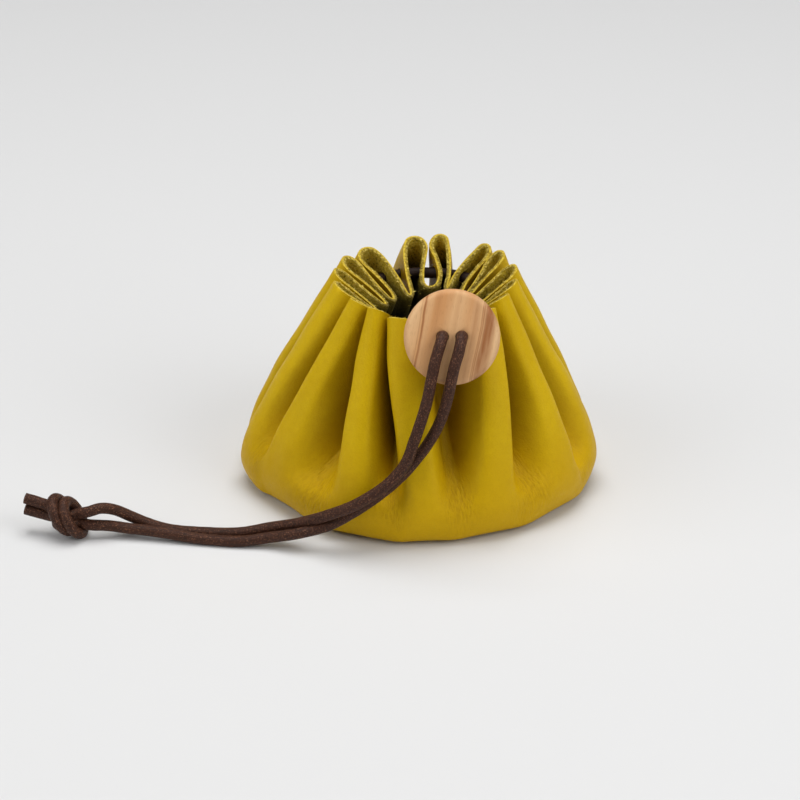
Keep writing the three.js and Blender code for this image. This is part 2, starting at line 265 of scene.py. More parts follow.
def route_length(points):
    return float(np.linalg.norm(np.diff(points, axis=0), axis=1).sum())


print("curve helper ready")

# %% [markdown]
# ## The cord's finish
# The cord is a round dark brown textile cord, lightly waxed. Close up it is a fine weave
# with paler fibres standing out of it. The weave has to follow the cord round its bends,
# so the tube below carries its own straightened coordinates, and the pattern is drawn on
# those: two sets of opposed spirals for the weave and a fine noise for the loose fibres.
# The stretch inside the pleats is painted nearly black as painted shade.

# %% Waxed cord finish
CORD = 3.0 * MM
WEAVE_TURNS = 7
WEAVE_PITCH = 0.0042
WEAVE_DEPTH = 0.00006
WEAVE_SHADE = linear(48, 29, 24)
FLECK_SCALE = 4200
FLECK_STRETCH = 0.5
FLECK_DEPTH = 0.00014
PATCH_SCALE = 700
CORD_COLOURS = {"dark": linear(48, 25, 14), "light": linear(66, 36, 22), "fleck": linear(168, 116, 86)}
# painted shade: a darker copy of the cord's colours for the stretch inside the pleats
SHADED_CORD_COLOURS = {"dark": linear(30, 19, 16), "light": linear(42, 28, 24), "fleck": linear(70, 54, 48)}


def cord_finish(name, dark, light, fleck):
    material, tree, shader = new_finish(name, 0.6, 0.2)
    shader.inputs["Sheen Weight"].default_value = 0.05
    shader.inputs["Sheen Tint"].default_value = linear(190, 160, 140)
    along = attribute(tree, "along")
    place = attribute(tree, "section", "Vector")
    section = node(tree, "ShaderNodeSeparateXYZ", {"Vector": place}).outputs
    angle = math_node(tree, "ARCTAN2", section["Y"], section["X"])
    wound = math_node(tree, "MULTIPLY", angle, WEAVE_TURNS)
    phase = math_node(tree, "MULTIPLY", along, WEAVE_TURNS * 2 * math.pi / WEAVE_PITCH)
    one_way = math_node(tree, "SINE", math_node(tree, "ADD", wound, phase))
    other_way = math_node(tree, "SINE", math_node(tree, "SUBTRACT", wound, phase))
    weave = math_node(tree, "MAXIMUM", one_way, other_way)
    drawn = math_node(tree, "MULTIPLY", along, FLECK_STRETCH)
    values = {"X": section["X"], "Y": section["Y"], "Z": drawn}
    straight = node(tree, "ShaderNodeCombineXYZ", values).outputs["Vector"]
    fibres = noise_at(tree, straight, FLECK_SCALE, 3.0, 0.65)
    patches = noise_at(tree, straight, PATCH_SCALE, 2.0)
    base = ramp(tree, patches, ((0.3, dark), (0.7, light)))
    base = mix_colour(tree, levels(tree, weave, (0.0, 0.35), (0.6, 0.0)), base, WEAVE_SHADE)
    flecks = levels(tree, fibres, (0.55, 0.0), (0.68, 0.6))
    set_input(tree, shader, "Base Color", mix_colour(tree, flecks, base, fleck))
    set_input(tree, shader, "Roughness", levels(tree, fibres, (0.3, 0.36), (0.8, 0.66)))
    woven = bump(tree, weave, WEAVE_DEPTH, 0.6)
    set_input(tree, shader, "Normal", bump(tree, fibres, FLECK_DEPTH, 0.8, woven))
    return material


brown_cord = cord_finish("waxed brown cord", **CORD_COLOURS)
shaded_cord = cord_finish("cord with painted shade", **SHADED_CORD_COLOURS)
print("made finishes:", brown_cord.name, shaded_cord.name)

# %% [markdown]
# ## A tube along a route
# A cord could be a curve with a bevel, but then the weave would have nothing to follow.
# Geometry Nodes sweep a round section along the route instead, keep the place on the
# section and the length along the route as attributes, and push the skin in and out a
# little, because a textile cord is never a perfect cylinder.

# %% Cord tree
WANDER_SCALE = 420.0
CORD_INPUTS = {
    "Route": "NodeSocketGeometry",
    "Radius": "NodeSocketFloat",
    "Sides": "NodeSocketInt",
    "Step": "NodeSocketFloat",
    "Unevenness": "NodeSocketFloat",
    "Finish": "NodeSocketMaterial",
}


def new_tree(name, inputs, output):
    """A tree of geometry nodes with named inputs and one result."""
    tree = bpy.data.node_groups.new(name, "GeometryNodeTree")
    for socket, kind in inputs.items():
        tree.interface.new_socket(socket, in_out="INPUT", socket_type=kind)
    tree.interface.new_socket(output, in_out="OUTPUT", socket_type="NodeSocketGeometry")
    return tree


def cord_tree():
    tree = new_tree("cord along a route", CORD_INPUTS, "Cord")
    given = node(tree, "NodeGroupInput").outputs
    curve = node(tree, "GeometryNodeMeshToCurve", {"Mesh": given["Route"]}).outputs["Curve"]
    values = {"Curve": curve, "Length": given["Step"]}
    spaced = node(tree, "GeometryNodeResampleCurve", values, mode="LENGTH").outputs["Curve"]
    length = node(tree, "GeometryNodeSplineParameter").outputs["Length"]
    values = {"Geometry": spaced, "Name": "along", "Value": length}
    path = node(tree, "GeometryNodeStoreNamedAttribute", values, data_type="FLOAT").outputs["Geometry"]
    values = {"Resolution": given["Sides"], "Radius": given["Radius"]}
    ring = node(tree, "GeometryNodeCurvePrimitiveCircle", values, mode="RADIUS").outputs["Curve"]
    place = node(tree, "GeometryNodeInputPosition").outputs["Position"]
    values = {"Geometry": ring, "Name": "section", "Value": place}
    section = node(tree, "GeometryNodeStoreNamedAttribute", values, data_type="FLOAT_VECTOR")
    values = {"Curve": path, "Profile Curve": section.outputs["Geometry"], "Fill Caps": True}
    tube = node(tree, "GeometryNodeCurveToMesh", values).outputs["Mesh"]
    wander = node(tree, "ShaderNodeTexNoise", {"Scale": WANDER_SCALE, "Detail": 2.0}).outputs["Fac"]
    centred = math_node(tree, "SUBTRACT", wander, 0.5)
    amount = math_node(tree, "MULTIPLY", centred, given["Unevenness"])
    normal = node(tree, "GeometryNodeInputNormal").outputs["Normal"]
    offset = node(tree, "ShaderNodeVectorMath", {0: normal, "Scale": amount}, operation="SCALE")
    values = {"Geometry": tube, "Offset": offset.outputs["Vector"]}
    moved = node(tree, "GeometryNodeSetPosition", values).outputs["Geometry"]
    smooth = node(tree, "GeometryNodeSetShadeSmooth", {"Geometry": moved}).outputs["Geometry"]
    real = node(tree, "GeometryNodeRealizeInstances", {"Geometry": smooth}).outputs["Geometry"]
    finished = node(tree, "GeometryNodeSetMaterial", {"Geometry": real, "Material": given["Finish"]})
    node(tree, "NodeGroupOutput", {"Cord": finished.outputs["Geometry"]})
    return tree


CORD_TREE = cord_tree()
print("made tree:", CORD_TREE.name)

# %% Cord pieces
CORD_SIDES = 24
CORD_STEP = 0.5 * MM
CORD_UNEVENNESS = 0.16 * MM


def made_plain(obj, modifier):
    """Turns the result of a modifier into the object's own mesh."""
    depsgraph = bpy.context.evaluated_depsgraph_get()
    mesh = bpy.data.meshes.new_from_object(obj.evaluated_get(depsgraph), depsgraph=depsgraph)
    obj.modifiers.remove(modifier)
    obj.data = mesh
    mesh.name = obj.name
    return mesh


def with_tree(obj, tree, **inputs):
    modifier = obj.modifiers.new(tree.name, "NODES")
    modifier.node_group = tree
    for item in tree.interface.items_tree:
        if item.in_out == "INPUT" and item.name in inputs:
            modifier[item.identifier] = inputs[item.name]
    return made_plain(obj, modifier)


def tubes(name, routes, **inputs):
    """One object of tubes along one or more dense routes, given in metres."""
    points = []
    edges = []
    for route in routes:
        first = len(points)
        points.extend(route.tolist())
        edges.extend((first + i, first + i + 1) for i in range(len(route) - 1))
    obj = new_object(name, points, edges, [])
    with_tree(obj, CORD_TREE, Sides=CORD_SIDES, **inputs)
    return obj


def cord_piece(name, routes, finish):
    sizes = {"Radius": CORD / 2, "Step": CORD_STEP, "Unevenness": CORD_UNEVENNESS}
    obj = tubes(name, routes, Finish=finish, **sizes)
    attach(obj, BODY)
    print(name, "is", len(obj.data.polygons), "faces")
    return obj


print("cord pieces have", CORD_SIDES, "sides")

# %% [markdown]
# ## The two free strands
# Both ends of the cord come straight out of the toggle's holes, bend over its lower edge,
# hang down the front of the purse and lie along the surface to the left. A simulation could
# drop them, but the photograph shows the strands from end to end, so they are laid where they
# are seen and their length is the one that is seen. The routes follow the points of the plain
# part, in millimetres, and lie a little closer where they reach the surface.

# %% Free strands
TOGGLE_CENTRE = np.array([8.1, -31.9, 57.1])
TOGGLE_LEAN = math.radians(25.5)
TOGGLE_OUT = np.array([0, -math.cos(TOGGLE_LEAN), math.sin(TOGGLE_LEAN)])
TOGGLE_HALF = 2.5
HOLE_SPACING = 5.0
GAP = 0.3
ROUTE_LEFT = [
    [5.0, -37.1, 57.4], [4.2, -38.5, 55.2], [3.5, -39.7, 52.8], [2.7, -40.8, 49.0],
    [1.7, -41.8, 43.8], [0.2, -42.8, 38.5], [-1.6, -43.8, 33.1], [-3.9, -45.1, 27.0],
    [-8.6, -46.1, 21.3], [-17.1, -46.3, 15.2], [-23.3, -45.0, 11.8], [-31.4, -41.6, 7.3],
    [-39.9, -38.6, 4.1], [-47.9, -38.2, 2.3], [-58.7, -36.7, 1.6], [-66.9, -35.2, 1.6],
    [-72.3, -34.0, 2.6], [-77.5, -33.9, 5.0], [-81.3, -34.9, 7.4], [-84.9, -36.2, 8.6],
]
ROUTE_RIGHT = [
    [10.2, -37.1, 57.4], [9.6, -38.5, 55.2], [8.8, -39.6, 52.8], [7.9, -40.5, 48.8],
    [6.8, -41.0, 43.4], [5.2, -41.2, 37.6], [2.5, -41.4, 31.8], [-0.7, -42.0, 27.1],
    [-5.1, -42.7, 21.8], [-11.2, -43.4, 16.3], [-18.6, -43.5, 10.8], [-24.3, -43.4, 7.4],
    [-32.2, -43.9, 5.3], [-39.9, -42.0, 3.0], [-47.8, -41.6, 1.6], [-58.6, -40.2, 1.6],
    [-66.6, -38.7, 2.2], [-72.0, -37.7, 2.6], [-77.4, -37.0, 2.9], [-82.8, -36.6, 3.5],
]
ENTRY_LEFT = [[-88.2, -37.0, 8.0], [-91.2, -36.2, 6.9]]
ENTRY_RIGHT = [[-88.2, -36.9, 4.0], [-91.2, -36.2, 4.4]]


def in_hole(side, out):
    point = TOGGLE_CENTRE + TOGGLE_OUT * out
    point[0] += side * HOLE_SPACING / 2
    return point


def strand_route(side, route, entry):
    hole = [in_hole(side, GAP / 2), in_hole(side, TOGGLE_HALF + CORD / MM / 3)]
    return smooth_route([*hole, *route, *entry]) * MM


left_route = strand_route(-1, ROUTE_LEFT, ENTRY_LEFT)
right_route = strand_route(1, ROUTE_RIGHT, ENTRY_RIGHT)
strand_left = cord_piece("strand_left", [left_route], brown_cord)
strand_right = cord_piece("strand_right", [right_route], brown_cord)
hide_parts("cord_left")
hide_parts("cord_right")
print("free strands:", round(route_length(left_route), 4), round(route_length(right_route), 4))

# %% [markdown]
# ## The knot
# Both strands are tied in one overhand knot: side by side they go into the knot, once
# round the bundle and out through their own turn as two short tails. A lump with painted
# turns would be quicker, but its shadows would be wrong. Each strand is drawn instead
# as one route round the knot's axis, given by the place along the axis, the angle round it
# and the distance from it; the two turns lie side by side and lean as in the photograph.

# %% Knot
KNOT_CENTRE = np.array([-93.9, -35.6, 5.9])
KNOT_AXIS = np.array([-0.96, 0.22, 0.16])
KNOT_AXIS = KNOT_AXIS / np.linalg.norm(KNOT_AXIS)
KNOT_SIDE = np.cross(KNOT_AXIS, [0, 0, 1])
KNOT_SIDE = KNOT_SIDE / np.linalg.norm(KNOT_SIDE)
KNOT_UP = np.cross(KNOT_SIDE, KNOT_AXIS)
WRAP_RADIUS = 3.75
WRAP_LEAN = 2.9
WRAP_OFFSET = 1.58
WRAP_POINTS = 13
WRAP_START = 200
WRAP_STEP = 30
ENTRY_OVERLAP = 0.05
WAY_IN = {"along": 0.6, "degrees": 215, "radius": 2.6}
WAY_OUT = {"along": 1.0, "degrees": -190, "radius": 2.4}
TAILS_CLOSER = 0.6
TAILS = {
    "left": [[-98.8, -34.6, 8.3], [-102.0, -33.8, 9.2], [-105.3, -33.0, 9.9]],
    "right": [[-98.9, -34.6, 5.5], [-102.0, -33.8, 6.0], [-105.4, -33.0, 6.6]],
}


def round_knot(along, degrees, radius):
    turned = math.radians(degrees)
    return (
        KNOT_CENTRE
        + KNOT_AXIS * along
        + KNOT_SIDE * radius * math.cos(turned)
        + KNOT_UP * radius * math.sin(turned)
    )


def knot_route(entry, offset, tail):
    turn = []
    for step in range(WRAP_POINTS):
        degrees = WRAP_START - WRAP_STEP * step
        lean = WRAP_LEAN * math.sin(math.radians(degrees))
        turn.append(round_knot(offset + lean, degrees, WRAP_RADIUS))
    joined = np.array(entry[-1]) + KNOT_AXIS * ENTRY_OVERLAP
    way_in = round_knot(offset + WAY_IN["along"], WAY_IN["degrees"], WAY_IN["radius"])
    out_along = offset * TAILS_CLOSER + WAY_OUT["along"]
    way_out = round_knot(out_along, WAY_OUT["degrees"], WAY_OUT["radius"])
    return smooth_route([joined, way_in, *turn, way_out, *tail]) * MM


knot_routes = [
    knot_route(ENTRY_LEFT, WRAP_OFFSET, TAILS["left"]),
    knot_route(ENTRY_RIGHT, -WRAP_OFFSET, TAILS["right"]),
]
end_knot = cord_piece("end_knot", knot_routes, brown_cord)
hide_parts("knot")
print("knot of", len(knot_routes), "strands at", KNOT_CENTRE.tolist(), "mm")
for strand, side, route in ((strand_left, -1, left_route), (strand_right, 1, right_route)):
    tuple((in_hole(side, TOGGLE_HALF) * MM).tolist())

# %% [markdown]
# ## The cord inside the pleats
# Between the two holes of the toggle the cord runs through every pleat and is seen only in
# the gaps at the back of the mouth. A short piece in each gap would do for one view, but a
# whole ring is right from every side. It is held all the way round, so it isn't a free cord.

# %% Gathering cord
MOUTH_SHIFT = 1.5
GATHER = {"radius": 20.5, "height": 51.5, "from": 354, "to": 32, "points": 19}
LEAD_LEFT = [[5.2, -25.2, 53.9], [3.3, -21.8, 52.2]]
LEAD_RIGHT = [[9.9, -20.8, 52.2], [10.3, -25.2, 53.9]]

ring = []
for degrees in np.linspace(GATHER["from"], GATHER["to"], GATHER["points"]):
    turned = math.radians(degrees)
    x = GATHER["radius"] * math.sin(turned) + MOUTH_SHIFT
    ring.append([x, -GATHER["radius"] * math.cos(turned), GATHER["height"]])
behind = -TOGGLE_HALF - CORD / MM
gather_points = [
    in_hole(-1, -GAP / 2), in_hole(-1, behind), *LEAD_LEFT,
    *ring,
    *LEAD_RIGHT, in_hole(1, behind), in_hole(1, -GAP / 2),
]
gather_route = smooth_route(gather_points) * MM
# the ring inside the pleats wears the darker copy of the cord finish as painted shade
gathering_cord = cord_piece("gathering_cord", [gather_route], shaded_cord)
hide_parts("gather_cord")
print("gathering cord:", round(route_length(gather_route), 4), "m")

# %% [markdown]
# ## The shape of the leather
# A gathered disc could be left to a cloth simulation, but the folds would fall anywhere.
# Here each front pleat is one that the photograph shows, and the hidden ones keep their
# rhythm, so the shape follows a rule instead: one row for each pleat, one for each level of
# the wall, and the outline of half a pleat in two forms, from a soft wave near the base to a
# closed loop at the rim. These are the tables of the plain part, and smooth rows between
# their points make the fine surface.

# %% Tables of the pleats
LEATHER = 1.2
BASE_DEPTH = 0.92
SHARPEST_BEND = 0.75
# tip, reach, top, foot, spread and bulb of each ridge;
# then tip and foot angle, throat, dip, pocket and fill of the valley after it
FOLDS = (
    (38, 26.6, 59.8, 26, -2.2, 7.2, 49, 38.5, 13.0, 50, 4.6, 0),
    (57.5, 24.8, 60.2, 60, -1.2, 7.0, 68, 68, 12.5, 50, 4.6, 0),
    (79, 24.4, 60.4, 84, 0.0, 7.6, 90, 94, 13.5, 50, 5.2, 0),
    (101, 24.6, 60.4, 108, -1.2, 7.6, 114, 119, 12.5, 50, 5.2, 0),
    (124, 25.0, 60.6, 130, 0.0, 5.3, 133, 141, 14.0, 50, 5.2, 0),
    (139, 25.6, 60.4, 152, 0.0, 5.3, 155, 163.5, 14.0, 50, 3.2, 0),
    (170, 25.0, 60.9, 175, 0.0, 5.6, 174, 186.5, 14.0, 50, 9.0, 0),
    (187, 24.2, 60.6, 198, 0.0, 7.3, 205, 208, 9.5, 50, 5.2, 0),
    (224, 23.9, 60.0, 218, 0.0, 8.5, 234, 227.5, 10.5, 50, 6.2, 0),
    (245, 24.2, 60.5, 237, -0.6, 7.2, 254, 247.5, 11.0, 50, 5.2, 0),
    (264, 24.4, 60.4, 258, -0.8, 6.4, 274, 269.2, 13.0, 50, 4.0, 0),
    (285.5, 24.8, 60.4, 276.5, 0.3, 9.2, 298, 289, 12.0, 50, 4.2, 0.8),
    (311, 24.9, 60.2, 295.5, -3.4, 5.8, 319.5, 322.2, 11.5, 50, 4.6, 0),
    (327, 25.2, 60.1, 338, -0.8, 5.8, 336, 352.5, 12.5, 50, 4.2, 0.25),
    (347.5, 27.2, 59.8, 361, -2.3, 11.0, 373, 372, 13.0, 48, 10.5, 0.25),
)
# ridge radius and height, valley radius and height, form of the pleat, share of the rim, crowding
SECTIONS = (
    (25.0, 60.5, 10.0, 50.0, 1.0, 1.0, 0.0), (30.0, 50.5, 13.4, 42.0, 0.8, 0.79, 0.5),
    (36.2, 39.0, 18.0, 32.6, 0.5, 0.54, 0.45), (42.3, 27.0, 27.6, 22.6, 0.25, 0.3, 0.35),
    (46.6, 17.2, 39.0, 15.0, 0.12, 0.13, 0.1), (48.2, 11.2, 45.5, 10.6, 0.04, 0.05, 0.0),
    (48.5, 6.0, 47.3, 5.9, 0.0, 0.0, 0.0), (46.9, 2.2, 46.5, 2.2, 0.0, 0.0, 0.0),
    (41.0, 0.6, 41.0, 0.6, 0.0, 0.0, 0.0),
)
# out, lean and width of each point of half a pleat: the wave near the base, the loop at the rim
PLEAT = np.array((
    ((0, 0, 0), (0, 0, 0)),
    ((0.05, 0.16, 0), (0.05, 0, 0.8)),
    ((0.21, 0.27, 0), (0.25, 0, 1)),
    ((0.5, 0.38, 0), (0.55, 0.5, 1)),
    ((0.79, 0.5, 0), (0.82, 1, 1)),
    ((0.95, 0.7, 0), (0.96, 1, 0.62)),
    ((1, 1, 0), (1, 1, 0)),
))
PLEAT_COLUMNS = 2 * (len(PLEAT) - 1)
print(len(FOLDS), "pleats of", PLEAT_COLUMNS, "columns,", len(SECTIONS), "levels")


# %% Control points of the wall
def half_pleat(form):
    return PLEAT[:, 0] + (PLEAT[:, 1] - PLEAT[:, 0]) * form


def wall_points(ridge, valley, points, share, crowding):
    """From valley to ridge; both hold an angle, radius, height, width and spread."""
    out, lean, width = points.T
    span = ridge[0] - valley[0]
    at_valley = width * valley[3] / abs(span)
    at_ridge = 1 - width * ridge[3] / abs(span)
    even = at_valley + (at_ridge - at_valley) * lean
    way = even - crowding * out * even * (1 - even)
    turned = np.radians(valley[0] + span * way)
    radius = valley[1] + (ridge[1] - valley[1]) * out + valley[4] + (ridge[4] - valley[4]) * even
    depth = BASE_DEPTH + (1 - BASE_DEPTH) * share
    x = radius * np.sin(turned) + MOUTH_SHIFT * share
    y = -radius * np.cos(turned) * depth
    z = valley[2] + (ridge[2] - valley[2]) * out
    return np.stack([x, y, z], axis=-1)


def pleat_ring(level):
    ridge_r, ridge_z, valley_r, valley_z, form, share, crowding = level
    plain = SECTIONS[0]
    points = half_pleat(form)
    low = (1 - share) ** 2
    ridges = []
    valleys = []
    for i, (tip, reach, top, foot, spread, bulb, *valley) in enumerate(FOLDS):
        ridges.append((
            foot + (tip - foot) * share,
            ridge_r + (reach - plain[0]) * share,
            ridge_z + (top - plain[1]) * share,
            bulb,
            spread * low,
        ))
        angle, valley_foot, throat, dip, pocket, fill = valley
        after = FOLDS[(i + 1) % len(FOLDS)]
        bare = valley_r + (throat - plain[2]) * share
        valleys.append((
            valley_foot + (angle - valley_foot) * share,
            bare + (ridge_r - bare) * fill * low,
            valley_z + (dip - plain[3]) * share,
            pocket,
            (spread + after[4]) / 2 * low,
        ))
    ring = []
    for i, ridge in enumerate(ridges):
        before = valleys[i - 1]
        if i == 0:
            before = (before[0] - 360, *before[1:])
        ring.extend(wall_points(ridge, before, points[:-1], share, crowding))
        ring.extend(wall_points(ridge, valleys[i], points[:0:-1], share, crowding))
    return np.array(ring)


control = np.array([pleat_ring(level) for level in SECTIONS])
print("control points:", control.shape)


# %% Thickness of the wall
def unit(vectors):
    return vectors / np.maximum(np.linalg.norm(vectors, axis=-1, keepdims=True), 1e-12)


def face_normals(corner, across, down):
    return unit(np.cross(down - corner, across - corner))


def wall_offsets(rings):
    """The way out of each point, long enough to keep the leather's thickness round the folds."""
    offsets = np.zeros_like(rings)
    for k in range(len(rings) - 1):
        ring, below = rings[k], rings[k + 1]
        faces = [
            face_normals(ring, np.roll(ring, -1, 0), below),
            face_normals(np.roll(ring, 1, 0), ring, np.roll(below, 1, 0)),
        ]
        if k > 0:
            above = rings[k - 1]
            faces.append(face_normals(above, np.roll(above, -1, 0), ring))
        normal = unit(sum(faces))
        bend = np.min([(face * normal).sum(-1) for face in faces], axis=0)
        offsets[k] = normal * (LEATHER / 2 / np.maximum(bend, SHARPEST_BEND))[:, None]
    offsets[-1] = (0, 0, -LEATHER / 2)
    return offsets


control_offsets = wall_offsets(control)
reaches = np.linalg.norm(control_offsets, axis=-1)
print("half thickness:", round(float(reaches.min()), 2), "to", round(float(reaches.max()), 2), "mm")

# %% [markdown]
# ## Leather, cut edge and suede
# The hide has three faces. Outside is the smooth mustard grain: fine pores, faint mottling
# and small creases where the wall is squeezed above the base, their lines painted darker as
# painted shade. Near the foot its colour is a little warmer, and deep in the folds it is
# painted darker as painted shade. At the rim the knife leaves a bright line of dyed grain, and
# below it the cut turns fibrous. Inside is the flesh side, an olive suede with flecks, painted
# lighter on the inner wall as painted light and darker deeper in the mouth as painted shade.
# A scan of leather could be laid over the sheet, but it would stretch in the folds, so all
# three are noises in the object's own coordinates.
# The attributes "wall", "pinch", "fold" and "edge" tell each finish where on the sheet it is.

# %% Hide finish
WARM_HEIGHT = 0.03
HIDE_SCALES = {"clouds": 55, "mottle": 480, "pores": 2100.0, "grain": 2600, "creases": 1900}
HIDE_DEPTHS = {"creases": 0.0008, "pores": 0.0001, "grain": 0.0001}
HIDE_CLOUDS = ((0.3, linear(200, 164, 8)), (0.7, linear(210, 175, 13)))
WARM_FOOT = linear(204, 159, 2)
DARK_SPOTS = linear(187, 146, 7)
DARK_PITS = linear(168, 126, 5)
# painted shade along the crease lines
PAINTED_CREASE_SHADE = linear(150, 108, 6)
# painted shade deep in the folds
PAINTED_FOLD_SHADE = linear(112, 74, 1)
FOLD_SHADE_STRENGTH = 0.74


def height_share(tree, place, top):
    """Height above the floor as a share of a given height."""
    height = node(tree, "ShaderNodeSeparateXYZ", {"Vector": place}).outputs["Z"]
    return math_node(tree, "DIVIDE", height, top)


def mustard_hide():
    material, tree, shader = new_finish("mustard hide", 0.55, 0.1)
    place = object_place(tree)
    pinch = attribute(tree, "pinch")
    clouds = noise_at(tree, place, HIDE_SCALES["clouds"], 3.0)
    mottle = noise_at(tree, place, HIDE_SCALES["mottle"], 3.0, 0.6)
    values = {"Vector": place, "Scale": HIDE_SCALES["pores"]}
    pores = node(tree, "ShaderNodeTexVoronoi", values, feature="F1").outputs["Distance"]
    grain = noise_at(tree, place, HIDE_SCALES["grain"], 3.0, 0.6)
    lines = noise_at(tree, attribute(tree, "wall", "Vector"), HIDE_SCALES["creases"], 2.0, 0.5)
    colour = ramp(tree, clouds, HIDE_CLOUDS)
    low = levels(tree, height_share(tree, place, WARM_HEIGHT), (0.3, 0.6), (1.0, 0.0))
    colour = mix_colour(tree, low, colour, WARM_FOOT)
    colour = mix_colour(tree, levels(tree, mottle, (0.35, 0.0), (0.7, 0.22)), colour, DARK_SPOTS)
    colour = mix_colour(tree, levels(tree, grain, (0.36, 0.16), (0.5, 0.0)), colour, DARK_PITS)
    # painted shade: the crease lines are darkened where the leather is pinched
    crease_shade = math_node(tree, "MULTIPLY", pinch, levels(tree, lines, (0.36, 0.38), (0.56, 0.1)))
    colour = mix_colour(tree, crease_shade, colour, PAINTED_CREASE_SHADE)
    # painted shade: the colour is darkened deep in the folds, most at mid-height
    fold_shade = math_node(tree, "MULTIPLY", attribute(tree, "fold"), FOLD_SHADE_STRENGTH)
    set_input(tree, shader, "Base Color", mix_colour(tree, fold_shade, colour, PAINTED_FOLD_SHADE))
    set_input(tree, shader, "Roughness", levels(tree, mottle, (0.3, 0.42), (0.75, 0.56)))
    creased = bump(tree, math_node(tree, "MULTIPLY", lines, pinch), HIDE_DEPTHS["creases"], 0.65)
    pored = bump(tree, pores, HIDE_DEPTHS["pores"], 0.45, creased)
    set_input(tree, shader, "Normal", bump(tree, grain, HIDE_DEPTHS["grain"], 0.7, pored))
    return material


hide_finish = mustard_hide()
print("made finish:", hide_finish.name)

# %% Cut edge and suede
RIM_HEIGHT = 0.0605
CUT_FLESH = ((0.3, linear(128, 105, 24)), (0.7, linear(160, 134, 38)))
# painted light: the inside wall's flesh is a brighter copy of the cut's, lifted against its own shade
WALL_FLESH_PAINTED_LIGHT = ((0.3, linear(194, 165, 36)), (0.7, linear(228, 198, 58)))
DYED_GRAIN = ((0.38, linear(164, 132, 22)), (0.62, linear(236, 208, 74)))
PALE_FLUFF = linear(240, 218, 110)
DARK_FLECKS = linear(58, 47, 10)
# painted shade deeper in the mouth, and the heights where it sets in
PAINTED_MOUTH_SHADE = linear(26, 21, 7)
MOUTH_SHADE_STEPS = ((0.7, 1.0), (0.8, 0.85), (0.87, 0.2), (0.93, 0.0))
FLESH_SCALE = 260
NAP_SCALE = 1500
NAP_DEPTH = 0.0004
THREAD_SCALE = 2000
THREAD_DEPTH = 0.0003
RAGGED = 0.5


def suede_colour(tree, place, flesh):
    """Olive nap with pale and dark flecks, for the inside and for the lower half of the cut, painted
    darker deeper in the mouth as painted shade.
    """
    nap = noise_at(tree, place, NAP_SCALE, 5.0, 0.75)
    colour = ramp(tree, noise_at(tree, place, FLESH_SCALE, 2.0), flesh)
    colour = mix_colour(tree, levels(tree, nap, (0.5, 0.0), (0.64, 1.0)), colour, PALE_FLUFF)
    colour = mix_colour(tree, levels(tree, nap, (0.36, 0.85), (0.46, 0.0)), colour, DARK_FLECKS)
    # painted shade: the suede darkens to nearly black lower down in the mouth
    below = levels(tree, height_share(tree, place, RIM_HEIGHT), *MOUTH_SHADE_STEPS)
    return mix_colour(tree, below, colour, PAINTED_MOUTH_SHADE), nap


def cut_edge():
    material, tree, shader = new_finish("cut edge", 0.85, 0.3)
    place = object_place(tree)
    threads = noise_at(tree, place, THREAD_SCALE, 4.0, 0.75)
    ragged = math_node(tree, "MULTIPLY", math_node(tree, "SUBTRACT", threads, 0.5), RAGGED)
    across = math_node(tree, "ADD", attribute(tree, "edge"), ragged)
    flesh = suede_colour(tree, place, CUT_FLESH)[0]
    dyed = ramp(tree, threads, DYED_GRAIN)
    fibrous = levels(tree, across, (0.36, 0.0), (0.54, 1.0))
    set_input(tree, shader, "Base Color", mix_colour(tree, fibrous, dyed, flesh))
    set_input(tree, shader, "Normal", bump(tree, threads, THREAD_DEPTH, 0.8))
    return material


def olive_suede():
    material, tree, shader = new_finish("olive suede", 0.95, 0.2)
    shader.inputs["Sheen Weight"].default_value = 0.1
    shader.inputs["Sheen Tint"].default_value = linear(200, 190, 110)
    # the inside wall gets the brighter flesh colours as painted light
    flesh, nap = suede_colour(tree, object_place(tree), WALL_FLESH_PAINTED_LIGHT)
    set_input(tree, shader, "Base Color", flesh)
    set_input(tree, shader, "Normal", bump(tree, nap, NAP_DEPTH, 0.9))
    return material


edge_finish = cut_edge()
suede_finish = olive_suede()
print("made finishes:", edge_finish.name, suede_finish.name)

# %% [markdown]
# ## The leather itself
# The outer and the inner face are refined apart, each from its own control points, and
# joined by a narrow strip at the rim, so the thickness is real all the way round. Solidify
# could add the thickness too, but it can cross itself in the tight loops of the rim. Each
# point also gets the attributes that the finishes read: its place on the unrolled wall, how
# much the leather is pinched there, which places the painted shade along the creases, and how
# deep in a fold it lies, which places the painted shade in the folds. Near the base the pleats
# flatten out, and the foot runs nearly straight from the end of one valley to the next.

# %% Fine rows of both faces
COLUMN_STEPS = 4
ROW_STEPS = (9, 10, 11, 11, 8, 7, 6, 6)
BASE_RINGS = (0.8, 0.55, 0.3, 0.1)


def fine_face(sign):
    corner = control + control_offsets * sign
    corner[..., 2] = np.maximum(corner[..., 2], 0)
    around = smooth_rows(corner.transpose(1, 0, 2), COLUMN_STEPS, closed=True).transpose(1, 0, 2)
    rows = smooth_rows(around, ROW_STEPS)
    rows[..., 2] = np.maximum(rows[..., 2], 0)
    return rows


def row_normals(rows):
    across = np.roll(rows, -1, 1) - np.roll(rows, 1, 1)
    down = np.gradient(rows, axis=0)
    return unit(np.cross(down, across))


outer = fine_face(1)
inner = fine_face(-1)
ROWS, COLUMNS = outer.shape[:2]
print("fine rows:", ROWS, "columns:", COLUMNS)

# %% Places on the wall
WALL_RADIUS = 46.0
CREASE_LEVEL = 12.0
CREASE_SPREAD = 8.5
CREASE_LENGTH = 0.3
CREASE_SLANT = 0.45
FRONT_TURN = math.radians(12)
PINCH_PATCH = 0.09
PINCH_MEAN = 0.8
PINCH_RANGE = 0.9
PLEAT_STEPS = PLEAT_COLUMNS * COLUMN_STEPS


def soft_noise(points, scale, seed):
    flat = points.reshape(-1, 3) * scale + seed
    return np.array([noise.noise(point) for point in flat.tolist()]).reshape(points.shape[:-1])


